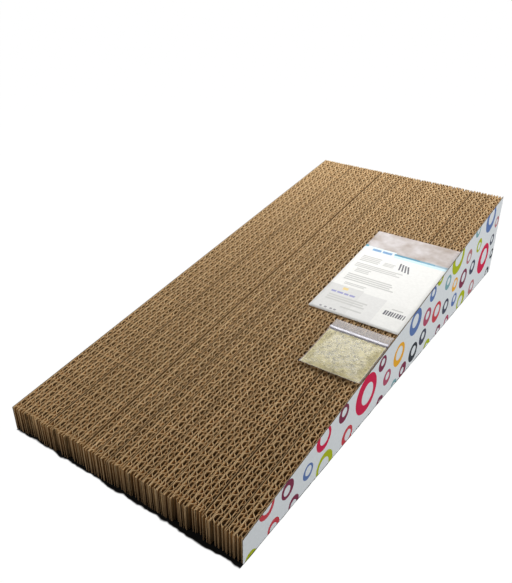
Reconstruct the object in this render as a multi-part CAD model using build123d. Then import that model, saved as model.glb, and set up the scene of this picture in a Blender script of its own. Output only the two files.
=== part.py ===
from build123d import *
import math
import os

# Wedge-shaped cat scratcher of upright corrugated board strips, in millimetres.
# X runs across the strips, Y up the slope from the low end, Z up.
# The origin is the middle of the underside.

# Pad
length = 450.0
low_end_height = 20.0
high_end_height = 83.0
strip_count = 34
board_thickness = 5.8
flute_height = 3.3
flute_pitch = 8.8
glue_line = 0.15
block_joint_gap = 0.4
strips_before_block_joint = (6, 12, 18, 29)

# Printed side panels
panel_thickness = 0.5

# Loose printed card
card_width = 79.5
card_length = 131.7
card_thickness = 0.4
card_from_high_end = 117.0

# Press-seal bag
bag_width = 50.0
bag_length = 58.0
bag_from_card = 5.3
film_thickness = 0.2
weld_width = 2.0
crown_height = 5.0
side_rise = 8.0
herb_clearance = 0.2
seal_from_mouth = 10.5
seal_width = 2.6
seal_height = 1.0
seal_base = 0.3
rib_width = 0.8
rib_clearance = 0.1

# Loose things lie this far above the cut edges
rest_gap = 0.3
edge_inset = 0.5


def strip_left_faces():
    """X of each strip's fluted face, measured from the first strip's fluted face."""
    faces = [0.0]
    for number in range(1, strip_count):
        joint = block_joint_gap if number in strips_before_block_joint else 0.0
        faces.append(faces[-1] + board_thickness + glue_line + joint)
    return faces


left_faces = strip_left_faces()
block_width = left_faces[-1] + board_thickness
width = block_width + 2 * (glue_line + panel_thickness)

slope = math.atan2(high_end_height - low_end_height, length)
slope_length = math.hypot(length, high_end_height - low_end_height)
ramp = Plane(
    origin=(0, -length / 2, low_end_height),
    x_dir=(1, 0, 0),
    z_dir=(0, -math.sin(slope), math.cos(slope)),
)


def corrugated_strip():
    """One strip: a closed web with upright flutes on its left face, cut off along the slope."""
    flutes = round(length / flute_pitch)
    half_flute = length / flutes / 2
    back_edge = [(board_thickness, -length / 2), (board_thickness, length / 2)]
    fluted_edge = [
        (flute_height * ((step + 1) % 2), length / 2 - step * half_flute)
        for step in range(2 * flutes + 1)
    ]
    plan = make_face(Polyline(*back_edge, *fluted_edge, close=True))
    return split(extrude(plan, high_end_height), bisect_by=ramp, keep=Keep.BOTTOM)


def side_panel():
    """A wedge-shaped card panel, its inner face at X = 0, standing out towards +X."""
    outline = Plane.YZ * Polyline(
        (-length / 2, 0),
        (length / 2, 0),
        (length / 2, high_end_height),
        (-length / 2, low_end_height),
        close=True,
    )
    return extrude(make_face(outline), panel_thickness, dir=(1, 0, 0))


def pouch_form(growth):
    """The crown of the filled pouch, grown by this much all round: two barrel arches crossed."""

    def arch(span, rise):
        bow = ThreePointArc((-span / 2, 0), (0, rise), (span / 2, 0))
        return make_face([bow, Line((span / 2, 0), (-span / 2, 0))])

    across = pouch_width + 2 * growth
    along = pouch_length + 2 * growth
    over_width = extrude(Plane.XZ * arch(across, side_rise + growth), along / 2, both=True)
    over_length = extrude(Plane.YZ * arch(along, crown_height + growth), across / 2, both=True)
    return Pos(0, pouch_centre, film_thickness) * (over_width & over_length)


card_low_edge = slope_length - card_from_high_end - card_length
bag_low_edge = card_low_edge - bag_from_card - bag_length
seal_centre = bag_length - seal_from_mouth
pouch_width = bag_width - 2 * weld_width
pouch_length = seal_centre - seal_width / 2 - 2 * weld_width
pouch_centre = weld_width + pouch_length / 2
bag_plane = ramp * Pos(width / 2 - edge_inset - bag_width / 2, bag_low_edge, rest_gap)


def flat_bar(size_x, size_y, size_z, y_low, z_low):
    """A box across the bag, given by its lower edge and its underside."""
    return Pos(0, y_low + size_y / 2, z_low + size_z / 2) * Box(size_x, size_y, size_z)


def leaflet_card():
    middle = (width / 2 - edge_inset - card_width / 2, card_low_edge + card_length / 2)
    return ramp * Pos(*middle, rest_gap + card_thickness / 2) * Box(
        card_width, card_length, card_thickness
    )


def bag_back_film():
    return flat_bar(bag_width, bag_length, film_thickness, 0, 0)


def bag_front_film():
    """The upper wall: flat at the welds, crowned over the herb, raised over the press seal."""
    sheet = flat_bar(bag_width, bag_length, film_thickness, 0, film_thickness)
    window = flat_bar(pouch_width, pouch_length, film_thickness, weld_width, film_thickness)
    pouch = pouch_form(film_thickness) - pouch_form(0)
    seal_low = seal_centre - seal_width / 2
    cover = flat_bar(
        bag_width,
        seal_width + 2 * film_thickness,
        seal_height + film_thickness,
        seal_low - film_thickness,
        film_thickness,
    )
    seal_space = flat_bar(bag_width, seal_width, seal_height, seal_low, film_thickness)
    return sheet - window + pouch + cover - seal_space


def seal_track():
    """The grooved half of the press seal, on the back film."""
    seal_low = seal_centre - seal_width / 2
    height = seal_height - seal_base
    groove_width = rib_width + 2 * rib_clearance
    bar = flat_bar(bag_width, seal_width, height, seal_low, film_thickness)
    groove = flat_bar(
        bag_width,
        groove_width,
        height - seal_base,
        seal_centre - groove_width / 2,
        film_thickness + seal_base,
    )
    return bar - groove


def seal_rib():
    """The ribbed half of the press seal, under the front film, pressed into the groove."""
    seal_low = seal_centre - seal_width / 2
    height = seal_height - seal_base
    base = flat_bar(bag_width, seal_width, seal_base, seal_low, film_thickness + height)
    rib = flat_bar(
        bag_width,
        rib_width,
        height - seal_base - rib_clearance,
        seal_centre - rib_width / 2,
        film_thickness + seal_base + rib_clearance,
    )
    return base + rib


def catnip():
    """The dried herb, as one heap that fills the pouch."""
    return pouch_form(-herb_clearance)


# Nodes
nodes = {}

strip = corrugated_strip()
for number, face in enumerate(left_faces, start=1):
    nodes[f"corrugated_strip_{number:02d}"] = Pos(face - block_width / 2, 0, 0) * strip

panel = side_panel()
nodes["right_side_panel"] = Pos(block_width / 2 + glue_line, 0, 0) * panel
nodes["left_side_panel"] = Pos(-width / 2, 0, 0) * panel

nodes["leaflet_card"] = leaflet_card()

for piece in (bag_back_film, bag_front_film, seal_track, seal_rib, catnip):
    nodes[piece.__name__] = bag_plane * piece()

os.makedirs("parts", exist_ok=True)
for name, shape in nodes.items():
    export_step(shape, f"parts/{name}.step")
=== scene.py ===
import math

import bpy
import numpy as np
from mathutils import Matrix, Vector
from mathutils.geometry import delaunay_2d_cdt


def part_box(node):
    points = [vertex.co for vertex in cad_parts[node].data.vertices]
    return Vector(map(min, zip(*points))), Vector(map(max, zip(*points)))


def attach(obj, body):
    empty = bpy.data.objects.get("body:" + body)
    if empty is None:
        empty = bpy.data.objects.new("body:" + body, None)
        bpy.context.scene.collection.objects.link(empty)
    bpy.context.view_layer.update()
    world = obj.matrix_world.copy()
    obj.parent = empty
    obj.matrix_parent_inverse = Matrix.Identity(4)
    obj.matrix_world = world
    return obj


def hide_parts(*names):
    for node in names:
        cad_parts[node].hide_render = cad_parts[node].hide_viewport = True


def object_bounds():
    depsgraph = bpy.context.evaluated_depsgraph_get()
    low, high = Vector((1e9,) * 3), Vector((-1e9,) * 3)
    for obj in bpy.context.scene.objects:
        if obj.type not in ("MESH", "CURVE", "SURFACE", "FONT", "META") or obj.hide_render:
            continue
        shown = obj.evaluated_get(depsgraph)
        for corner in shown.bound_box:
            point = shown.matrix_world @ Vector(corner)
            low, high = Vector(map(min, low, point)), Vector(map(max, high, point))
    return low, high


# Wedge-shaped cat scratcher: bare double-wall board strips, ring-printed side panels,
# a loose printed card and a press-seal bag of dried herb. Metres, in the frame of the solids.

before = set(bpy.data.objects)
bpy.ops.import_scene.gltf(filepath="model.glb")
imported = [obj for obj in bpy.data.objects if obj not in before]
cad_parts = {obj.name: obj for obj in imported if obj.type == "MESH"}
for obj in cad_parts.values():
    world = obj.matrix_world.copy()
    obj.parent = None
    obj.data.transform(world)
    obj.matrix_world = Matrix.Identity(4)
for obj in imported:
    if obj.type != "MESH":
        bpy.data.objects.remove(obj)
cad_low, cad_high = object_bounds()
rng = np.random.default_rng(2417)
MM = 0.001

# Camera, fitted to the corners of the pad in the photograph
image_long_side = 583
sensor_size = 36.0
focal_pixels = 657.2
camera_azimuth = math.radians(34.82)
camera_elevation = math.radians(29.51)
camera_roll = math.radians(0.05)
camera_distance = 593.4 * MM
camera_right = -36.9 * MM
camera_up = 38.7 * MM
nearest_seen = 10.0 * MM

# Board strips: three liners with a wide and a narrow fluted sheet between them
strip_count = 34
liner_thickness = 0.32 * MM
middle_liner_thickness = 0.22 * MM
medium_at_front, medium_at_back = 0.4 * MM, 1.0 * MM
narrow_medium_share = 0.6
middle_liner_at = 0.57
wide_flute_pitch = 7.95 * MM
narrow_flute_pitch = 6.55 * MM
wide_flute_steps = 12
narrow_flute_steps = 10
wave_lean = -0.3
wave_steepness = 1.9
liner_step = 6.0 * MM
middle_sway, long_sway, short_sway = 0.5 * MM, 9.0 * MM, 5.0 * MM
long_sway_share = 0.6
cut_nap = 0.16 * MM

# How far the strips are out of line with each other
front_shift = 2.2 * MM
outer_strip_share = 0.1
back_shift = 0.25 * MM
end_margin = 0.1 * MM
cut_wander = 0.2 * MM
block_jump = 3.0 * MM

# Joints between the strips, numbered by the strip before them; both sides of some draw back, by mm
glue_line = 0.15 * MM
strips_before_block_joint = (6, 12, 18, 29)
gap_insets = {
    6: 0.35, 8: 0.12, 10: 0.15, 12: 0.72, 14: 0.36, 16: 0.36,
    18: 0.3, 21: 0.2, 24: 0.2, 26: 0.12, 29: 0.36, 32: 0.3,
}
# At these joints the faces are painted in deeper shade
deep_shade_joints = (6, 14, 16, 29, 32)

# Tones of a sheet at these depths under its cut edge and at its foot, mostly painted light and shade: 1
# is bare kraft, 0 deep shade
wall_depths = (0.0, 0.5 * MM, 2.4 * MM, 6.0 * MM)
# Painted shade on faces the light hardly reaches: darker soon below the cut edge
painted_shaded_tones = (1.0, 0.65, 0.4, 0.2, 0.08)
# Painted light on faces the light falls on: light well below the cut edge
painted_lit_tones = (1.0, 1.0, 1.0, 0.7, 0.25)
# Painted shade on the faces at open joints, deeper at some of them
open_joint_shade_tones = (0.78, 0.6, 0.46, 0.22, 0.08)
deep_joint_shade_tones = (0.5, 0.4, 0.3, 0.2, 0.08)
# The low end is painted darker towards its foot, as shade near the floor
front_end_shade_tones = (1.0, 0.95, 0.9, 0.75, 0.25)
# The high end is darker at its cut edge than below it
back_tones = (0.7, 0.85, 1.0, 1.0, 1.0)
# Within this distance of an end, faces take the end's tones instead of the painted shade inside
end_light = 1.4 * MM
palest_tone, darkest_strip_tone = 1.0, 0.86

# Towards the high end the insides are painted lighter, as more light reaches down into them there, and
# everything a little duller
back_painted_light, back_dull = 0.28, 0.05


# Places on the slope
def corners(node):
    low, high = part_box(node)
    return np.array(low), np.array(high)


panel_low, panel_high = corners("right_side_panel")
front_y, back_y = panel_low[1], panel_high[1]
panel_points = np.array([tuple(v.co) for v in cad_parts["right_side_panel"].data.vertices])
low_end = panel_points[panel_points[:, 1] < front_y + MM, 2].max()
high_end = panel_high[2]
slope = math.atan2(high_end - low_end, back_y - front_y)


def ramp_z(y):
    return low_end + (y - front_y) * math.tan(slope)


def on_ramp(x, s, w):
    """Points x across, s up the slope from the low end and w above it."""
    y = front_y + s * math.cos(slope) - w * math.sin(slope)
    z = low_end + s * math.sin(slope) + w * math.cos(slope)
    return np.stack(np.broadcast_arrays(x, y, z), -1)


def up_slope(node):
    """How far up the slope the middle of a flat node lies."""
    low, high = corners(node)
    middle = (low + high) / 2
    return (middle[1] - front_y) * math.cos(slope) + (middle[2] - low_end) * math.sin(slope)


# Materials
def srgb(red, green, blue):
    values = np.array([red, green, blue]) / 255
    linear = np.where(values <= 0.04045, values / 12.92, ((values + 0.055) / 1.055) ** 2.4)
    return (*linear.tolist(), 1.0)


def new_material(name, roughness):
    material = bpy.data.materials.new(name)
    material.use_nodes = True
    tree = material.node_tree
    shader = tree.nodes["Principled BSDF"]
    shader.inputs["Roughness"].default_value = roughness
    return material, tree, shader


def noise(tree, scale, detail=3.0, stretch=(1.0, 1.0, 1.0)):
    coordinates = tree.nodes.new("ShaderNodeTexCoord")
    mapping = tree.nodes.new("ShaderNodeMapping")
    mapping.inputs["Scale"].default_value = stretch
    texture = tree.nodes.new("ShaderNodeTexNoise")
    texture.inputs["Scale"].default_value = scale
    texture.inputs["Detail"].default_value = detail
    tree.links.new(coordinates.outputs["Object"], mapping.inputs["Vector"])
    tree.links.new(mapping.outputs["Vector"], texture.inputs["Vector"])
    return texture.outputs["Fac"]


def colour_ramp(tree, factor, *stops):
    node = tree.nodes.new("ShaderNodeValToRGB")
    elements = node.color_ramp.elements
    while len(elements) < len(stops):
        elements.new(0.5)
    for element, (position, colour) in zip(elements, stops):
        element.position = position
        element.color = colour
    tree.links.new(factor, node.inputs["Fac"])
    return node.outputs["Color"]


def feed(tree, socket, value):
    """Sets a socket to a value, or links another node's output to it."""
    if isinstance(value, bpy.types.NodeSocket):
        tree.links.new(value, socket)
    else:
        socket.default_value = value


def blend_colours(tree, factor, first, second, mode="MIX"):
    node = tree.nodes.new("ShaderNodeMix")
    node.data_type = "RGBA"
    node.blend_type = mode
    for index, value in ((0, factor), (6, first), (7, second)):
        feed(tree, node.inputs[index], value)
    return node.outputs[2]


def calculate(tree, operation, *values):
    node = tree.nodes.new("ShaderNodeMath")
    node.operation = operation
    for socket, value in zip(node.inputs, values):
        feed(tree, socket, value)
    return node.outputs[0]


def calculate_vector(tree, operation, *values):
    node = tree.nodes.new("ShaderNodeVectorMath")
    node.operation = operation
    for socket, value in zip(node.inputs, values):
        feed(tree, socket, value)
    return node.outputs["Value" if operation in ("DOT_PRODUCT", "LENGTH") else "Vector"]


def map_range(tree, value, source, target, interpolation="LINEAR"):
    """Maps the values between two limits onto those between two others."""
    node = tree.nodes.new("ShaderNodeMapRange")
    node.interpolation_type = interpolation
    for name, limit in zip(("From Min", "From Max", "To Min", "To Max"), (*source, *target)):
        node.inputs[name].default_value = limit
    tree.links.new(value, node.inputs["Value"])
    return node.outputs["Result"]


def blend_shaders(tree, factor, first, second):
    node = tree.nodes.new("ShaderNodeMixShader")
    for socket, value in zip(node.inputs, (factor, first, second)):
        tree.links.new(value, socket)
    return node.outputs[0]


def attribute(tree, name):
    node = tree.nodes.new("ShaderNodeAttribute")
    node.attribute_name = name
    return node.outputs["Fac"]


def add_bump(tree, shader, height, strength, distance):
    node = tree.nodes.new("ShaderNodeBump")
    node.inputs["Strength"].default_value = strength
    node.inputs["Distance"].default_value = distance
    tree.links.new(height, node.inputs["Height"])
    tree.links.new(node.outputs["Normal"], shader.inputs["Normal"])


# Dark brown of the painted shade inside the board
painted_shade_kraft = srgb(62, 36, 10)
kraft_roughness = 0.92
fibre_scale, fibre_stretch = 1500.0, (1.0, 0.35, 1.0)
fleck_strength = 0.6
tooth_scale = 2600.0


def kraft(name, dark, light, fleck, mottle_scale=90.0):
    """Bare recycled board: mottled brown, with fibres along the strip and darker flecks, painted towards
    a dark brown shade where its points' tone is low.
    """
    material, tree, shader = new_material(name, kraft_roughness)
    mottle = colour_ramp(tree, noise(tree, mottle_scale, 4.0), (0.32, dark), (0.68, light))
    fibre = noise(tree, fibre_scale, 3.0, fibre_stretch)
    fleck_share = colour_ramp(tree, fibre, (0.55, (0, 0, 0, 1)), (0.75, (*[fleck_strength] * 3, 1)))
    flecked = blend_colours(tree, fleck_share, mottle, fleck)
    shaded = blend_colours(tree, attribute(tree, "tone_and_painted_light"), painted_shade_kraft, flecked)
    tree.links.new(shaded, shader.inputs["Base Color"])
    add_bump(tree, shader, fibre, 0.35, 0.15 * MM)
    shader.inputs["Specular IOR Level"].default_value = 0.2
    return material


def printed(name, colour, roughness, specular, darker=None, grain_scale=420.0):
    """Coated card or ink with a faint tooth. Its mottle is faint, unless a darker colour is given."""
    material, tree, shader = new_material(name, roughness)
    darker = darker or (*(0.95 * part for part in colour[:3]), 1.0)
    grain = noise(tree, grain_scale, 4.0)
    tree.links.new(colour_ramp(tree, grain, (0.35, darker), (0.65, colour)), shader.inputs["Base Color"])
    add_bump(tree, shader, noise(tree, tooth_scale, 2.0), 0.12, 0.05 * MM)
    shader.inputs["Specular IOR Level"].default_value = specular
    return material


sheet_kraft = srgb(198, 162, 112), srgb(224, 188, 138), srgb(148, 114, 70)
board_materials = [
    kraft("kraft_liner", *sheet_kraft),
    kraft("kraft_medium", *sheet_kraft),
    kraft("kraft_liner_cut", srgb(166, 138, 100), srgb(198, 170, 130), srgb(154, 125, 87), 220.0),
    kraft("kraft_medium_cut", srgb(168, 140, 102), srgb(202, 173, 132), srgb(140, 112, 77), 160.0),
    kraft("kraft_inner_cut", srgb(162, 132, 94), srgb(194, 162, 120), srgb(122, 94, 60), 160.0),
]
LINER, MEDIUM, LINER_CUT, MEDIUM_CUT, INNER_CUT = range(5)

ring_colours = {
    "white": srgb(232, 237, 240),
    "board": srgb(110, 96, 80),
    "crimson": srgb(212, 46, 84),
    "red": srgb(204, 74, 84),
    "plum": srgb(128, 56, 80),
    "pink": srgb(180, 84, 110),
    "blue": srgb(100, 126, 180),
    "teal": srgb(132, 174, 180),
    "lime": srgb(178, 190, 44),
    "orange": srgb(240, 178, 58),
    "black": srgb(54, 58, 64),
    "navy": srgb(72, 75, 92),
    "rose": srgb(190, 128, 132),
}
panel_roughness, panel_specular = 0.7, 0.03
panel_materials = [
    printed(f"panel_{name}", colour, panel_roughness, panel_specular)
    for name, colour in ring_colours.items()
]
panel_ink = {name: index for index, name in enumerate(ring_colours)}


# Meshes
def make_piece(name, points, faces, materials, indices, smooth, body, nodes):
    mesh = bpy.data.meshes.new(name)
    mesh.from_pydata(np.asarray(points).tolist(), [], faces)
    for material in materials:
        mesh.materials.append(material)
    mesh.polygons.foreach_set("material_index", np.asarray(indices, dtype=np.int32))
    mesh.polygons.foreach_set("use_smooth", np.asarray(smooth, dtype=bool))
    mesh.update()
    piece = bpy.data.objects.new(name, mesh)
    bpy.context.scene.collection.objects.link(piece)
    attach(piece, body)
    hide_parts(*nodes)
    return piece


# Stores each point's tone, which also carries its painted light and shade
def add_tone_and_painted_light(piece, values):
    layer = piece.data.attributes.new("tone_and_painted_light", "FLOAT", "POINT")
    layer.data.foreach_set("value", np.broadcast_to(values, len(piece.data.vertices)).astype(np.float32))


def paper_wall(path, thickness, tops, right_tones, left_tones):
    """An upright sheet along a path in plan, with shade painted darker inside the board than at its cut
    edges and ends.
    """
    along = np.gradient(path, axis=0)
    along /= np.linalg.norm(along, axis=1)[:, None]
    offset = np.stack([along[:, 1], -along[:, 0]], 1) * np.reshape(thickness, (-1, 1)) / 2
    stations, levels = len(path), len(wall_depths) + 1
    ring = 2 * levels
    points = np.zeros((stations, ring, 3))
    points[:, :levels, :2] = (path + offset)[:, None]
    points[:, levels:, :2] = (path - offset)[:, None]
    points[..., 1] = np.clip(points[..., 1], path[0, 1], path[-1, 1])
    for level, depth in enumerate(wall_depths):
        for side in (levels - 1 - level, levels + level):
            points[:, side, 2] = tops(points[:, side, 1]) - depth
    y = points[..., 1]
    climb = (y - front_y) / (back_y - front_y)
    inside = np.concatenate([right_tones[::-1], left_tones])
    # Painted light: insides lighter towards the high end, and all a little darker there
    inside = (inside + (1 - inside) * back_painted_light * climb) * (1 - back_dull * climb)
    front = np.clip(1 - (y - y.min()) / end_light, 0, 1)
    back = np.clip(1 - (y.max() - y) / end_light, 0, 1)
    tones = (1 - front) * inside + front * np.concatenate([front_end_shade_tones[::-1], front_end_shade_tones])
    tones = (1 - back) * tones + back * np.concatenate([back_tones[::-1], back_tones])
    first = np.arange(stations - 1)[:, None] * ring
    side = np.arange(ring)[None, :]
    turn = (side + 1) % ring
    quads = np.stack([first + side, first + ring + side, first + ring + turn, first + turn], -1)
    last = ring * (stations - 1)
    caps = [list(range(ring)), list(range(last + ring - 1, last - 1, -1))]
    is_wall = np.ones(ring, dtype=bool)
    is_wall[[levels - 1, ring - 1]] = False
    walls = np.append(np.tile(is_wall, stations - 1), [False, False])
    return points.reshape(-1, 3), quads.reshape(-1, 4).tolist() + caps, walls, tones.ravel()


def medium_thickness(y):
    """The cut edge of the fluted paper, frayed wider towards the high end."""
    return np.interp(y, (front_y, back_y), (medium_at_front, medium_at_back))


def flute_path(y_low, y_high, edges, pitch, phase, steps, share_of_medium):
    """A fluted sheet's wave in plan, and its thickness: flat where it is glued and steep between."""
    count = int((y_high - y_low) / pitch * steps) + 1
    y = np.linspace(y_low, y_high, count)
    turn = 2 * math.pi * (y / pitch + phase)
    wave = np.tanh(wave_steepness * (np.sin(turn) + wave_lean))
    lowest, highest = np.tanh(wave_steepness * (wave_lean + np.array([-1, 1])))
    share = (wave - lowest) / (highest - lowest)
    thickness = share_of_medium * medium_thickness(y)
    from_x, to_x = edges(y)
    return np.stack([from_x + thickness / 2 + (to_x - from_x - thickness) * share, y], 1), thickness


def cut_offsets():
    """How far along the board each strip was cut: near its neighbour, but for the block joints."""
    steps = rng.normal(0.0, cut_wander, strip_count)
    for number in strips_before_block_joint:
        steps[number] += rng.uniform(-block_jump, block_jump)
    return np.cumsum(steps)


def joint_side(number):
    """Painted shade of a board face at the joint after this strip."""
    if number in deep_shade_joints:
        return deep_joint_shade_tones
    return open_joint_shade_tones if number in gap_insets else painted_shaded_tones


cut_offset = cut_offsets()
strip_tone = rng.uniform(darkest_strip_tone, palest_tone, strip_count)


def board_strip(number):
    """One strip: three liners and two fluted sheets, drawn in where its joints stand open."""
    node = f"corrugated_strip_{number:02d}"
    low, high = corners(node)
    left = low[0] + gap_insets.get(number - 1, 0.0) * MM
    right = high[0] - gap_insets.get(number, 0.0) * MM
    glued = number < strip_count and number not in gap_insets
    right_edge = right + (glue_line if glued else 0.0)
    shift = front_shift * rng.random() ** 2
    if number in (1, strip_count):
        shift *= outer_strip_share
    y_low = front_y + end_margin + shift
    y_high = back_y - end_margin - rng.uniform(0.0, back_shift)

    def tops(y):
        nap = cut_nap * rng.random(len(y)) ** 2
        return ramp_z(y - shift) - nap

    middle = left + middle_liner_at * (right - left)
    sway_phases = rng.uniform(0, 2 * math.pi, 2)
    liner_y = np.linspace(y_low, y_high, int((y_high - y_low) / liner_step))

    def sway(y):
        """How far the middle liner strays from its place."""
        long_wave = np.sin(y / long_sway + sway_phases[0])
        short_wave = np.sin(y / short_sway + sway_phases[1])
        return middle_sway * (long_sway_share * long_wave + (1 - long_sway_share) * short_wave)

    def liner(x, thickness, right_tones, left_tones):
        path = np.stack([np.broadcast_to(x, liner_y.shape), liner_y], 1)
        return paper_wall(path, thickness, tops, right_tones, left_tones)

    def wide_edges(y):
        return left + liner_thickness, middle + sway(y) - middle_liner_thickness / 2

    def narrow_edges(y):
        return middle + sway(y) + middle_liner_thickness / 2, right - liner_thickness

    outer_thickness = right_edge - right + liner_thickness
    left_tones, right_tones = joint_side(number - 1), joint_side(number)
    left_liner = liner(left + liner_thickness / 2, liner_thickness, painted_lit_tones, left_tones)
    middle_liner = liner(middle + sway(liner_y), middle_liner_thickness, painted_lit_tones, painted_shaded_tones)
    right_liner = liner(right_edge - outer_thickness / 2, outer_thickness, right_tones, painted_shaded_tones)
    walls = [
        (LINER, LINER_CUT, left_liner),
        (LINER, INNER_CUT, middle_liner),
        (LINER, LINER_CUT, right_liner),
    ]
    for cut, edges, pitch, steps, share in (
        (MEDIUM_CUT, wide_edges, wide_flute_pitch, wide_flute_steps, 1.0),
        (INNER_CUT, narrow_edges, narrow_flute_pitch, narrow_flute_steps, narrow_medium_share),
    ):
        phase = cut_offset[number - 1] / pitch
        path, thickness = flute_path(y_low, y_high, edges, pitch, phase, steps, share)
        sheet = paper_wall(path, thickness, tops, painted_shaded_tones, painted_lit_tones)
        walls.append((MEDIUM, cut, sheet))

    points, faces, indices, smooth, tones = [], [], [], [], []
    offset = 0
    for wall, cut, (wall_points, wall_faces, wall_smooth, wall_tone) in walls:
        points.append(wall_points)
        faces.extend([corner + offset for corner in face] for face in wall_faces)
        indices.append(np.where(wall_smooth, wall, cut))
        smooth.append(wall_smooth)
        tones.append(wall_tone)
        offset += len(wall_points)
    strip = make_piece(
        f"strip_{number:02d}",
        np.vstack(points),
        faces,
        board_materials,
        np.concatenate(indices),
        np.concatenate(smooth),
        "pad",
        [node],
    )
    # Each strip's random tone times the painted shade of its faces
    add_tone_and_painted_light(strip, strip_tone[number - 1] * np.concatenate(tones))


for strip_number in range(1, strip_count + 1):
    board_strip(strip_number)


# Side panels: rings as (place along the panel, height, outer radius, inner radius, thick side, ink),
# in mm from the middle of the panel's foot, with the thick side in degrees
rings = (
    (-217.5, -3.0, 6.5, 3.8, 90, "lime"),
    (-200.7, 24.0, 8.3, 5.2, 250, "red"),
    (-193.0, 1.1, 6.6, 3.8, 60, "red"),
    (-177.5, 19.6, 7.2, 3.8, 40, "plum"),
    (-169.7, 0.9, 6.2, 3.5, 60, "plum"),
    (-152.7, 14.2, 6.4, 3.9, 240, "blue"),
    (-133.3, 28.0, 9.8, 6.0, 225, "crimson"),
    (-130.3, 2.5, 11.3, 7.0, 20, "lime"),
    (-105.8, 30.3, 7.4, 3.7, 240, "plum"),
    (-98.0, 4.8, 8.2, 4.6, 180, "red"),
    (-70.8, 24.8, 16.8, 9.2, 150, "crimson"),
    (-46.0, 37.1, 6.8, 3.2, 240, "plum"),
    (-43.9, -0.9, 6.0, 3.0, 90, "plum"),
    (-34.1, 17.1, 7.0, 3.4, 240, "pink"),
    (-17.9, -0.5, 5.4, 3.0, 90, "teal"),
    (-13.9, 27.0, 10.5, 6.2, 270, "orange"),
    (-1.8, 5.2, 7.0, 3.1, 30, "plum"),
    (14.4, 42.7, 12.0, 6.2, 300, "blue"),
    (17.5, 11.4, 9.0, 4.6, 225, "black"),
    (36.8, 16.2, 7.6, 3.5, 255, "navy"),
    (41.2, 34.0, 8.4, 4.0, 255, "pink"),
    (48.3, 52.8, 7.0, 3.4, 255, "blue"),
    (50.4, -1.1, 7.2, 4.0, 90, "lime"),
    (62.5, 61.6, 6.8, 3.8, 270, "lime"),
    (64.4, 27.3, 10.0, 5.6, 240, "red"),
    (76.5, 1.7, 6.0, 3.2, 60, "plum"),
    (85.1, 47.4, 7.2, 3.6, 255, "teal"),
    (87.9, 21.5, 7.6, 3.8, 225, "navy"),
    (97.4, 1.1, 6.0, 3.2, 60, "pink"),
    (105.0, 62.7, 15.0, 9.0, 250, "lime"),
    (106.3, 35.7, 7.0, 3.8, 255, "orange"),
    (111.3, 17.4, 6.8, 3.4, 255, "blue"),
    (129.4, 31.8, 9.8, 5.0, 240, "plum"),
    (133.5, 6.0, 10.5, 6.0, 20, "lime"),
    (137.9, 51.3, 7.3, 3.8, 105, "rose"),
    (154.4, 33.2, 7.6, 3.8, 285, "navy"),
    (154.4, 71.3, 6.5, 3.4, 195, "teal"),
    (163.2, 7.1, 8.0, 4.2, 225, "rose"),
    (165.8, 52.0, 7.2, 3.8, 105, "lime"),
    (189.2, 28.4, 16.0, 8.4, 225, "crimson"),
    (192.3, 70.4, 14.0, 8.0, 250, "blue"),
    (211.0, 41.0, 6.0, 3.2, 285, "navy"),
    (214.5, 2.0, 6.0, 3.2, 30, "black"),
    (217.0, 58.5, 6.0, 3.2, 330, "rose"),
    (220.0, 21.4, 5.6, 3.0, 300, "black"),
)
ring_sides = 56
thick_side_share = 0.3
inside_faces = 1
merge_distance = 1e-7


def circle(centre, radius, sides):
    angles = np.linspace(0, 2 * math.pi, sides, endpoint=False)
    return np.stack([centre[0] + radius * np.cos(angles), centre[1] + radius * np.sin(angles)], 1)


def printed_outline():
    """The panel's outline cut into paper and rings: points, triangles and each triangle's ink."""
    outline = np.array([(front_y, 0), (back_y, 0), (back_y, high_end), (front_y, low_end)])
    loops = [outline]
    for y, z, outer, inner, thick_side, ink in rings:
        lean = thick_side_share * (outer - inner)
        away = math.radians(thick_side) + math.pi
        centre = np.array([y, z])
        loops.append(circle(centre * MM, outer * MM, ring_sides))
        inner_centre = centre + lean * np.array([math.cos(away), math.sin(away)])
        loops.append(circle(inner_centre * MM, inner * MM, ring_sides))
    starts = np.cumsum([0] + [len(loop) for loop in loops])
    faces = [list(range(start, start + len(loop))) for start, loop in zip(starts, loops)]
    points, _, triangles, _, _, sources = delaunay_2d_cdt(
        np.vstack(loops).tolist(), [], faces, inside_faces, merge_distance, True
    )
    kept, inks = [], []
    for triangle, source in zip(triangles, sources):
        if 0 not in source:
            continue
        ink = panel_ink["white"]
        for number, ring in enumerate(rings):
            if 2 * number + 1 in source and 2 * number + 2 not in source:
                ink = panel_ink[ring[-1]]
        kept.append(list(triangle))
        inks.append(ink)
    return np.array([tuple(point) for point in points]), kept, inks


outline_points, outline_triangles, outline_inks = printed_outline()


def ring_panel(node, outward):
    """A panel whose outer face carries the rings, closed by its edges and its plain inner face."""
    low, high = corners(node)
    outer_x, inner_x = (high[0], low[0]) if outward > 0 else (low[0], high[0])
    count = len(outline_points)
    flat = np.vstack([outline_points, outline_points])
    x = np.repeat([outer_x, inner_x], count)
    points = np.column_stack([x, flat])
    outer = [list(t) if outward > 0 else t[::-1] for t in outline_triangles]
    inner = [[corner + count for corner in t[::-1]] for t in outer]
    directed = {(t[k], t[(k + 1) % len(t)]) for t in outer for k in range(len(t))}
    edges = [[b, a, a + count, b + count] for a, b in directed if (b, a) not in directed]
    faces = outer + inner + edges
    indices = outline_inks + [panel_ink["board"]] * (len(inner) + len(edges))
    used = sorted({corner for face in faces for corner in face})
    renumbered = {corner: index for index, corner in enumerate(used)}
    faces = [[renumbered[corner] for corner in face] for face in faces]
    flags = np.zeros(len(faces), dtype=bool)
    make_piece(
        f"{node}_printed",
        points[used],
        faces,
        panel_materials,
        indices,
        flags,
        "pad",
        [node],
    )


ring_panel("right_side_panel", 1)
ring_panel("left_side_panel", -1)


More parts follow.
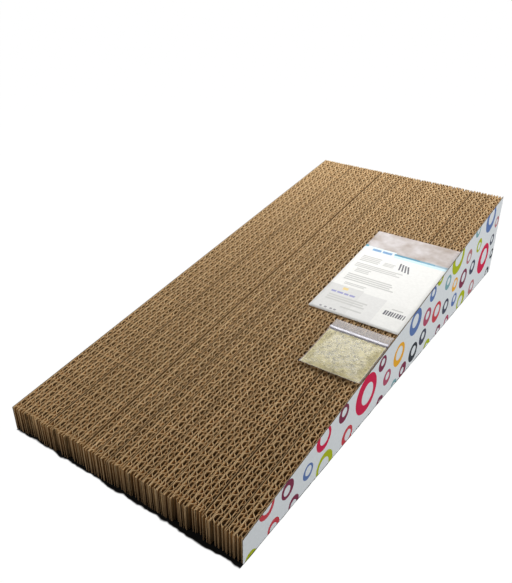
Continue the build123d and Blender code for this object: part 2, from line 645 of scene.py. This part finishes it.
# Closed shells over a grid, for the card, the bag and the herb
def grid_faces(rows, columns):
    """Top, underside and edges of a closed sheet whose lower points come before its upper ones."""
    count = rows * columns
    number = np.arange(count).reshape(rows, columns)
    a, b = number[:-1, :-1].ravel(), number[:-1, 1:].ravel()
    c, d = number[1:, 1:].ravel(), number[1:, :-1].ravel()
    rim = np.concatenate([number[0, :-1], number[:-1, -1], number[-1, :0:-1], number[:0:-1, 0]])
    following = np.roll(rim, -1)
    top = np.stack([a, b, c, d], 1) + count
    bottom = np.stack([a, d, c, b], 1)
    edges = np.stack([rim, following, following + count, rim + count], 1)
    return top, bottom, edges


def shell(name, us, vs, under, over, place, materials, cells, body, nodes):
    """A closed sheet between two height fields over a grid, set in place on the slope."""
    grid_u, grid_v = np.meshgrid(us, vs)
    lower = place(grid_u, grid_v, under(grid_u, grid_v)).reshape(-1, 3)
    upper = place(grid_u, grid_v, over(grid_u, grid_v)).reshape(-1, 3)
    top, bottom, edges = grid_faces(*grid_u.shape)
    faces = np.vstack([top, bottom, edges]).tolist()
    cell_indices = np.zeros(len(top), dtype=int) if cells is None else cells
    indices = np.concatenate([cell_indices, np.zeros(len(bottom) + len(edges), dtype=int)])
    smooth = np.concatenate([np.ones(2 * len(top), dtype=bool), np.zeros(len(edges), dtype=bool)])
    make_piece(name, np.vstack([lower, upper]), faces, materials, indices, smooth, body, nodes)


# Printed card: plain bands and bars stand in for its print, in mm from its lower left corner
card_low, card_high = corners("leaflet_card")
card_width = (card_high[0] - card_low[0]) / MM
card_length = (card_high[1] - card_low[1]) / math.cos(slope) / MM
card_thickness = 0.4
card_rest = 0.3
card_curl, card_curl_reach = 0.3, 16.0
card_roughness, card_specular = 0.45, 0.1
card_grid = 4.0
card_inks = {
    "white": srgb(236, 235, 231),
    "cyan": srgb(208, 232, 240),
    "pale_cyan": srgb(226, 237, 241),
    "teal": srgb(84, 152, 172),
    "stripe": srgb(80, 146, 172),
    "pale_stripe": srgb(116, 164, 186),
    "grey_stripe": srgb(152, 178, 192),
    "blue": srgb(124, 162, 200),
    "violet": srgb(150, 150, 194),
    "text": srgb(198, 197, 193),
    "lower": srgb(216, 215, 212),
    "lower_middle": srgb(223, 222, 219),
    "lower_right": srgb(232, 231, 227),
    "mark": srgb(150, 148, 150),
    "dark": srgb(92, 90, 98),
    "orange": srgb(232, 206, 140),
}
card_index = {name: index for index, name in enumerate(card_inks)}
card_materials = [
    printed(f"card_{name}", colour, card_roughness, card_specular)
    for name, colour in card_inks.items()
]
card_index["band"] = len(card_materials)
band_light, band_dark, band_grain = srgb(206, 200, 199), srgb(168, 155, 146), 70.0
card_materials.append(
    printed("card_band", band_light, card_roughness, card_specular, band_dark, band_grain)
)

# Areas of ink as (left, right, bottom, top, ink), each over the ones before it
card_areas = [
    (0, 32, 0, 37.7, "lower"),
    (32, 54, 0, 35.7, "lower_middle"),
    (54, card_width, 0, 33.7, "lower_right"),
    (0, card_width, 101.7, card_length, "band"),
    (0, 31, 97.7, 104.2, "pale_cyan"),
    (31, card_width, 96.2, 99.7, "cyan"),
    (0, 3, 102.7, 105.7, "teal"),
    (30, 54, 99.7, 102.2, "stripe"),
    (54, 68, 99.7, 102.2, "pale_stripe"),
    (68, card_width, 99.7, 102.2, "grey_stripe"),
    (14, 19, 32.2, 35.7, "orange"),
]
for start, end in ((9, 17.5), (19, 28)):
    card_areas.append((start, end, 98.2, 101.7, "blue"))
for start, end in ((6.5, 11), (12, 17.5), (18.5, 22.5), (23.5, 28.5)):
    card_areas.append((start, end, 26.2, 28.5, "violet"))
# Blocks of text as (left, right, bottom, top, lines)
text_blocks = (
    (6, 25, 78.7, 88.7, 4),
    (28, 39, 79.7, 85.7, 3),
    (6, 50, 68.7, 75.7, 3),
    (10, 24, 60.7, 67.7, 3),
    (7, 53, 46.7, 57.7, 4),
    (11, 31, 40.2, 44.2, 2),
    (7, 43, 14.7, 23.7, 3),
    (24, 45, 8.7, 11.7, 1),
    (62, 72, 25.7, 28.2, 1),
)
most_shortened = 0.12
line_margin, line_height = 0.2, 0.6
for left, right, bottom, top, count in text_blocks:
    pitch = (top - bottom) / count
    for line in range(count):
        short = rng.uniform(0, most_shortened) * (right - left)
        start = bottom + (line + line_margin) * pitch
        card_areas.append((left, right - short, start, start + line_height * pitch, "text"))
mark_width = 2.2
for start in (8, 12.5, 17.5, 21):
    card_areas.append((start, start + mark_width, 3.3, 5.3, "mark"))
bar_count, bar_pitch, first_bar = 9, 2.1, 58
thin_bar, thick_bar = 0.9, 1.7
for bar in range(bar_count):
    start = first_bar + bar_pitch * bar
    card_areas.append((start, start + rng.uniform(thin_bar, thick_bar), 17.7, 23.7, "dark"))
stroke_count, stroke_steps = 4, 6
first_stroke, stroke_pitch, stroke_width = 41, 2.6, 1.4
stroke_top, stroke_drop, step_height = 90.2, 0.7, 1.7
for stroke in range(stroke_count):
    step_across = 0.35 + 0.1 * stroke
    for step in range(stroke_steps):
        left = first_stroke + stroke_pitch * stroke + step_across * step
        top = stroke_top - stroke_drop * stroke - step_height * step
        card_areas.append((left, left + stroke_width, top - step_height, top, "dark"))


def grid_lines(length, spacing, edges):
    """Places of the lines across a sheet: evenly spaced ones, and one at each edge of an area of ink."""
    marks = np.concatenate([np.arange(0, length, spacing), [length], edges])
    return np.unique(np.round(np.clip(marks, 0, length), 3))


card_us = grid_lines(card_width, card_grid, [edge for area in card_areas for edge in area[:2]])
card_vs = grid_lines(card_length, card_grid, [edge for area in card_areas for edge in area[2:4]])
cell_u, cell_v = np.meshgrid((card_us[1:] + card_us[:-1]) / 2, (card_vs[1:] + card_vs[:-1]) / 2)
card_cells = np.zeros(cell_u.shape, dtype=int)
for left, right, bottom, top, ink in card_areas:
    inside = (cell_u > left) & (cell_u < right) & (cell_v > bottom) & (cell_v < top)
    card_cells[inside] = card_index[ink]
card_start = up_slope("leaflet_card") / MM - card_length / 2


def card_place(u, v, w):
    return on_ramp(card_low[0] + u * MM, (card_start + v) * MM, w * MM)


def card_under(u, v):
    return card_rest + card_curl * np.exp(-v / card_curl_reach)


shell(
    "leaflet_card_printed",
    card_us,
    card_vs,
    card_under,
    lambda u, v: card_under(u, v) + card_thickness,
    card_place,
    card_materials,
    card_cells.ravel(),
    "leaflet",
    ["leaflet_card"],
)


# Press-seal bag, in mm from the middle of its lower edge
bag_low, bag_high = corners("bag_back_film")
bag_width = (bag_high[0] - bag_low[0]) / MM
bag_length = (bag_high[1] - bag_low[1]) / math.cos(slope) / MM
bag_middle = (bag_low[0] + bag_high[0]) / 2
bag_start = up_slope("bag_back_film") / MM - bag_length / 2
bag_rest = 0.3
lower_curl, lower_curl_reach = 1.7, 4.0
side_curl, side_curl_reach = 0.6, 2.5
film_thickness = 0.1
film_gap = 0.12
film_face_shine = 0.015
film_edge_shine = 0.2
film_shine_power = 4.0
seal_from_mouth = 10.5
seal_width = 2.8
seal_bump, seal_bump_half = 0.9, 0.62 * seal_width
side_weld, top_weld = 0.4, 0.8
seal_centre = bag_length - seal_from_mouth
pouch_height = 3.9
pouch_half_width = bag_width / 2 - side_weld
pouch_top = seal_centre - seal_width / 2 - top_weld
pouch_power = 3.2
wrinkle_height, wrinkle_reach = 0.14, 5.5
flare_height, flare_wave, flare_reach = 0.25, 0.15, 6.0
lump_height = 0.12
lump_waves, steepest_lump, lump_scale = 14, 0.9, 5
lump_turns = rng.uniform(-1, 1, (lump_waves, 2)) * steepest_lump
lump_phases = rng.uniform(0, 2 * math.pi, lump_waves)


def bag_place(u, v, w):
    side = bag_width / 2 - np.abs(u)
    curl = lower_curl * np.exp(-v / lower_curl_reach) + side_curl * np.exp(-side / side_curl_reach)
    return on_ramp(bag_middle + u * MM, (bag_start + v) * MM, (bag_rest + curl + w) * MM)


def lumps(u, v):
    """A slow random swell over the bag, mostly between -1 and 1."""
    waves = [np.sin(u * turn[0] + v * turn[1] + phase) for turn, phase in zip(lump_turns, lump_phases)]
    return np.sum(waves, 0) / lump_scale


def fullness(u, v):
    """0 at the pouch's edges, 1 over its middle."""
    half = pouch_top / 2
    across = np.clip(1 - np.abs(u / pouch_half_width) ** pouch_power, 0, 1)
    along = np.clip(1 - np.abs((v - half) / half) ** pouch_power, 0, 1)
    return np.sqrt(across) * np.sqrt(along)


def pouch_under(u, v):
    """Height of the front film's underside: the pouch, the ridge over the seal and the loose mouth."""
    full = fullness(u, v)
    pull = np.exp(-np.clip(pouch_top - v, 0, None) / wrinkle_reach)
    wrinkle = wrinkle_height * np.sin(u * 1.05 + 0.6 * np.sin(u * 0.4)) * pull
    body = pouch_height * full + full * (lump_height * lumps(u, v) + wrinkle)
    seal = seal_bump * np.exp(-(((v - seal_centre) / seal_bump_half) ** 6))
    header = np.clip((v - seal_centre - seal_width) / flare_reach, 0, 1)
    flare = header * (flare_height + flare_wave * np.sin(u * 0.35 + 1.0))
    return film_thickness + film_gap + np.maximum(np.maximum(body, seal), flare)


def film_material(name, colour, haze, gloss_roughness):
    """Thin clear film: what is behind shows through, under a faint haze and a soft gloss."""
    material, tree, shader = new_material(name, 0.5)
    shader.inputs["Base Color"].default_value = colour
    clouds = noise(tree, 110.0, 3.0)
    haze_share = map_range(tree, clouds, (0.35, 0.65), (0.6 * haze, 1.4 * haze))
    clear = tree.nodes.new("ShaderNodeBsdfTransparent")
    gloss = tree.nodes.new("ShaderNodeBsdfGlossy")
    gloss.inputs["Roughness"].default_value = gloss_roughness
    facing = tree.nodes.new("ShaderNodeLayerWeight")
    facing.inputs["Blend"].default_value = 0.5
    steep = calculate(tree, "POWER", facing.outputs["Facing"], film_shine_power)
    shine_share = calculate(tree, "MULTIPLY_ADD", steep, film_edge_shine, film_face_shine)
    shine = blend_shaders(tree, shine_share, clear.outputs[0], gloss.outputs[0])
    film = blend_shaders(tree, haze_share, shine, shader.outputs[0])
    tree.links.new(film, tree.nodes["Material Output"].inputs["Surface"])
    return material


def back_under(u, v):
    """Height of the back film's underside, which is nearly flat."""
    return 0.05 + 0.04 * np.sin(u * 0.5) * np.sin(v * 0.4)


bag_columns, bag_rows = 101, 115
bag_us = np.linspace(-bag_width / 2, bag_width / 2, bag_columns)
bag_vs = np.linspace(0, bag_length, bag_rows)
header_from = seal_centre + 0.8 * seal_width
header_cells = np.repeat((bag_vs[1:] > header_from).astype(int), len(bag_us) - 1)
clear_film = srgb(236, 235, 242)
header_film = srgb(143, 132, 127)
shell(
    "bag_front_film_sheet",
    bag_us,
    bag_vs,
    pouch_under,
    lambda u, v: pouch_under(u, v) + film_thickness,
    bag_place,
    [
        film_material("bag_film_front", clear_film, haze=0.05, gloss_roughness=0.25),
        film_material("bag_film_header", header_film, haze=0.5, gloss_roughness=0.25),
    ],
    header_cells,
    "catnip_bag",
    ["bag_front_film"],
)
shell(
    "bag_back_film_sheet",
    bag_us[::4],
    bag_vs[::3],
    back_under,
    lambda u, v: back_under(u, v) + film_thickness,
    bag_place,
    [film_material("bag_film_back", clear_film, haze=0.06, gloss_roughness=0.3)],
    None,
    "catnip_bag",
    ["bag_back_film"],
)


# Press seal: a grooved track under a rib
seal_side_gap = 0.1
seal_columns = 41
track_under, track_floor, track_top = 0.2, 0.35, 0.62
rib_foot, rib_base, rib_top = 0.4, 0.68, 0.95
groove_half = 0.5
rib_half = 0.4
step_half = 0.02


def seal_material():
    material, tree, shader = new_material("press_seal_milky", 0.28)
    milk = noise(tree, 300.0, 2.0)
    tint = colour_ramp(tree, milk, (0.3, srgb(178, 174, 187)), (0.7, srgb(198, 195, 207)))
    tree.links.new(tint, shader.inputs["Base Color"])
    shader.inputs["Alpha"].default_value = 0.85
    return material


seal_materials = [seal_material()]
seal_us = np.linspace(-bag_width / 2 + seal_side_gap, bag_width / 2 - seal_side_gap, seal_columns)


def track_over(u, v):
    return np.where(np.abs(v - seal_centre) < groove_half, track_floor, track_top)


def rib_under(u, v):
    return np.where(np.abs(v - seal_centre) < rib_half, rib_foot, rib_base)


def seal_lines(half):
    """Lines along the seal: its edges, and one on each side of each step at this half width."""
    outer, inner = half + step_half, half - step_half
    return seal_centre + np.array([-seal_width / 2, -outer, -inner, inner, outer, seal_width / 2])


shell(
    "seal_track_strip",
    seal_us,
    seal_lines(groove_half),
    lambda u, v: np.full_like(u, track_under),
    track_over,
    bag_place,
    seal_materials,
    None,
    "catnip_bag",
    ["seal_track"],
)
shell(
    "seal_rib_strip",
    seal_us,
    seal_lines(rib_half),
    rib_under,
    lambda u, v: np.full_like(u, rib_top),
    bag_place,
    seal_materials,
    None,
    "catnip_bag",
    ["seal_rib"],
)


# Dried herb: a bumpy heap with loose flakes and bits of stem over it
def herb_material():
    material, tree, shader = new_material("dried_herb_flakes", 0.88)
    tint = colour_ramp(
        tree,
        attribute(tree, "tone_and_painted_light"),
        (0.0, srgb(112, 106, 60)),
        (0.15, srgb(154, 144, 92)),
        (0.3, srgb(205, 193, 131)),
        (0.75, srgb(223, 211, 155)),
        (1.0, srgb(239, 231, 195)),
    )
    vein = noise(tree, 900.0, 3.0)
    shade = colour_ramp(tree, vein, (0.3, (0.86, 0.86, 0.82, 1)), (0.7, (1, 1, 1, 1)))
    tree.links.new(blend_colours(tree, 1.0, tint, shade, "MULTIPLY"), shader.inputs["Base Color"])
    add_bump(tree, shader, vein, 0.4, 0.2 * MM)
    shader.inputs["Specular IOR Level"].default_value = 0.25
    return material


heap_columns, heap_rows = 61, 57
heap_inset = 0.5
herb_floor, lowest_heap = 0.17, 0.2
herb_depth = 0.55
flake_room = 0.35
bump_height = 0.22
film_clearance = 0.06
flake_count = 1500
flake_corners = 6
flake_side_margin, flake_end_margin = 1.2, 1.4
shortest_corner, longest_corner = 0.75, 1.1
steepest_tilt = 0.22
least_lift, most_lift = 0.05, 0.5
stem_share = 0.16

# Limits of the half length and of the half width, and the half thickness
stem_halves = (1.2, 2.4), (0.16, 0.26), 0.14
leaf_halves = (0.5, 1.2), (0.3, 0.75), 0.07

heap_tone = 0.27
patch_tone, patch_spread, darkest_patch = 0.75, 0.45, 0.2
# Herb near the pouch's sides and lower edge is painted paler, as if lit there
rim_light_fade = 4.0
rim_painted_light_tone = 0.95
flake_rim_light_share = 0.4


def heap_top(u, v):
    ridges = np.sin(u * 2.3 + 1.7 * np.sin(v * 0.9)) * np.sin(v * 2.1 + 1.3 * np.sin(u * 0.8))
    bumps = bump_height * ridges
    return np.maximum(pouch_under(u, v) - herb_depth - flake_room + bumps, lowest_heap)


def rim_light_share(u, v):
    """How much herb is painted paler, as if lit: 1 at the pouch's sides and lower edge, falling to 0
    further in.
    """
    return np.exp(-np.minimum(pouch_half_width - np.abs(u), v) / rim_light_fade)


def herb_piece():
    us = np.linspace(-pouch_half_width + heap_inset, pouch_half_width - heap_inset, heap_columns)
    vs = np.linspace(heap_inset, pouch_top - heap_inset, heap_rows)
    grid_u, grid_v = np.meshgrid(us, vs)
    lower = bag_place(grid_u, grid_v, np.full_like(grid_u, herb_floor)).reshape(-1, 3)
    upper = bag_place(grid_u, grid_v, heap_top(grid_u, grid_v)).reshape(-1, 3)
    top, bottom, edges = grid_faces(*grid_u.shape)
    faces = np.vstack([top, bottom, edges]).tolist()
    points = [lower, upper]
    # The heap is painted paler towards the rim, as if lit
    grid_tone = heap_tone + (rim_painted_light_tone - heap_tone) * rim_light_share(grid_u, grid_v).ravel()
    tones = [grid_tone, grid_tone]
    start = 2 * grid_u.size
    angles = np.linspace(0, 2 * math.pi, flake_corners, endpoint=False)
    for _ in range(flake_count):
        u = rng.uniform(-1, 1) * (pouch_half_width - flake_side_margin)
        v = rng.uniform(flake_end_margin, pouch_top - flake_end_margin)
        long_limits, wide_limits, thick_half = stem_halves if rng.random() < stem_share else leaf_halves
        long_half = rng.uniform(*long_limits)
        wide_half = rng.uniform(*wide_limits)
        turn = rng.uniform(0, math.pi)
        radius = rng.uniform(shortest_corner, longest_corner, flake_corners)
        x = long_half * radius * np.cos(angles)
        y = wide_half * radius * np.sin(angles)
        tilt = rng.uniform(-steepest_tilt, steepest_tilt, 2)
        flake_u = np.append(x * math.cos(turn) - y * math.sin(turn), [0, 0]) + u
        flake_v = np.append(x * math.sin(turn) + y * math.cos(turn), [0, 0]) + v
        height = heap_top(u, v) + rng.uniform(least_lift, most_lift)
        flake_w = height + tilt[0] * (flake_u - u) + tilt[1] * (flake_v - v)
        flake_w[-2] += thick_half
        flake_w[-1] -= thick_half
        flake_w = np.minimum(flake_w, pouch_under(flake_u, flake_v) - film_clearance)
        points.append(bag_place(flake_u, flake_v, flake_w))
        for corner in range(flake_corners):
            following = (corner + 1) % flake_corners
            faces.append([start + corner, start + following, start + flake_corners])
            faces.append([start + following, start + corner, start + flake_corners + 1])
        patch = np.clip(patch_tone + patch_spread * lumps(u, v), darkest_patch, 1.0)
        tone_and_painted_light = patch * rng.random()
        # Painted light: flakes near the rim are paler
        tone_and_painted_light += flake_rim_light_share * (rim_painted_light_tone - tone_and_painted_light) * rim_light_share(u, v)
        tones.append(np.full(flake_corners + 2, tone_and_painted_light))
        start += flake_corners + 2
    smooth = np.zeros(len(faces), dtype=bool)
    smooth[: len(top)] = True
    piece = make_piece(
        "catnip_heap",
        np.vstack(points),
        faces,
        [herb_material()],
        np.zeros(len(faces), dtype=int),
        smooth,
        "catnip_bag",
        ["catnip"],
    )
    add_tone_and_painted_light(piece, np.concatenate(tones))


herb_piece()


# Floor, light and camera
def camera_sees(tree):
    """1 for rays that show the backdrop itself: camera, mirror and glass rays."""
    path = tree.nodes.new("ShaderNodeLightPath")
    total = path.outputs["Is Camera Ray"]
    for name in ("Is Glossy Ray", "Is Transmission Ray"):
        total = calculate(tree, "MAXIMUM", total, path.outputs[name])
    return total


floor_size = 16.0
floor_drop = 0.2 * MM
# Near-black floor, seen only where the glow fades, as a painted shadow
shadow_floor_grey = 0.012
shadow_in_left, shadow_in_back = 0.6 * MM, 2.5 * MM
shadow_growth = 3.0 * MM
shadow_ragged, ragged_scale = 5.0 * MM, 90.0
side_steepness = 8.0
white_from, white_at = 3.7 * MM, 5.1 * MM


def floor_stage():
    """A floor that looks white, but for a painted shadow: a ragged dark edge at the pad's low end, wider
    on the right.
    """
    half = floor_size / 2
    mesh = bpy.data.meshes.new("floor")
    square = [(-half, -half, 0), (half, -half, 0), (half, half, 0), (-half, half, 0)]
    mesh.from_pydata(square, [], [(0, 1, 2, 3)])
    floor = bpy.data.objects.new("floor", mesh)
    floor.location.z = -floor_drop
    bpy.context.scene.collection.objects.link(floor)
    material, tree, shader = new_material("floor_white", 0.9)
    shader.inputs["Base Color"].default_value = (shadow_floor_grey, shadow_floor_grey, shadow_floor_grey, 1)
    shader.inputs["Specular IOR Level"].default_value = 0.0
    shader.inputs["Emission Color"].default_value = (1, 1, 1, 1)
    place = tree.nodes.new("ShaderNodeTexCoord").outputs["Object"]
    growth = (shadow_growth / (cad_high[0] - cad_low[0]), 0.0, 0.0)
    ahead = tree.nodes.new("ShaderNodeCombineXYZ")
    tree.links.new(calculate_vector(tree, "DOT_PRODUCT", place, growth), ahead.inputs["Y"])
    reach = calculate_vector(tree, "ADD", place, ahead.outputs["Vector"])
    for operation, *operand in (
        ("SUBTRACT", (shadow_in_left / 2, -shadow_in_back / 2, 0.0)),
        ("ABSOLUTE",),
        ("SUBTRACT", (cad_high[0] - shadow_in_left / 2, cad_high[1] - shadow_in_back / 2, 0.0)),
        ("MAXIMUM", (0.0, 0.0, 0.0)),
        ("MULTIPLY", (side_steepness, 1.0, 0.0)),
        ("LENGTH",),
    ):
        reach = calculate_vector(tree, operation, reach, *operand)
    # The glow fades near the pad, where the near-black floor shows as a painted shadow
    ragged = calculate(tree, "MULTIPLY_ADD", noise(tree, ragged_scale, 2.0), shadow_ragged, reach)
    fade = map_range(tree, ragged, (white_from, white_at), (0.0, 1.0), "SMOOTHSTEP")
    glow = calculate(tree, "MULTIPLY", camera_sees(tree), fade)
    tree.links.new(glow, shader.inputs["Emission Strength"])
    mesh.materials.append(material)


world_light = 0.12


def white_world():
    world = bpy.data.worlds.new("studio")
    bpy.context.scene.world = world
    world.use_nodes = True
    tree = world.node_tree
    light = tree.nodes["Background"]
    light.inputs["Strength"].default_value = world_light
    white = tree.nodes.new("ShaderNodeBackground")
    for background in (light, white):
        background.inputs["Color"].default_value = (1, 1, 1, 1)
    mix = blend_shaders(tree, camera_sees(tree), light.outputs[0], white.outputs[0])
    tree.links.new(mix, tree.nodes["World Output"].inputs["Surface"])


def axes_across(back):
    """The level axis and the rising one across a direction."""
    level = np.cross((0.0, 0.0, 1.0), back)
    level /= np.linalg.norm(level)
    return level, np.cross(back, level)


def standing(place, right, up, back):
    return Matrix.Translation(place) @ Matrix(np.stack([right, up, back], 1).tolist()).to_4x4()


def softbox(name, place, size, power):
    """A round lamp that faces the origin."""
    light = bpy.data.lights.new(name, "AREA")
    light.shape = "DISK"
    light.size = size
    light.energy = power
    lamp = bpy.data.objects.new(name, light)
    bpy.context.scene.collection.objects.link(lamp)
    back = np.array(place) / np.linalg.norm(place)
    lamp.matrix_world = standing(place, *axes_across(back), back)


def add_camera():
    back = np.array([
        math.sin(camera_azimuth) * math.cos(camera_elevation),
        -math.cos(camera_azimuth) * math.cos(camera_elevation),
        math.sin(camera_elevation),
    ])
    level, rise = axes_across(back)
    right = math.cos(camera_roll) * level + math.sin(camera_roll) * rise
    up = math.cos(camera_roll) * rise - math.sin(camera_roll) * level
    place = back * camera_distance + right * camera_right + up * camera_up
    data = bpy.data.cameras.new("camera")
    data.sensor_width = sensor_size
    data.lens = focal_pixels * sensor_size / image_long_side
    data.clip_start = nearest_seen
    camera = bpy.data.objects.new("camera", data)
    bpy.context.scene.collection.objects.link(camera)
    camera.matrix_world = standing(place, right, up, back)
    bpy.context.scene.camera = camera


# Lamps as (name, place and size in metres, watts)
lamps = (
    ("key", (-0.12, 0.33, 0.5), 0.4, 3.5),
    ("right_fill", (1.3, 0.3, 0.4), 0.8, 12.0),
    ("front_fill", (-0.55, -0.9, 0.3), 0.4, 5.5),
)

floor_stage()
white_world()
for lamp in lamps:
    softbox(*lamp)
add_camera()
bpy.context.scene.view_settings.view_transform = "Standard"
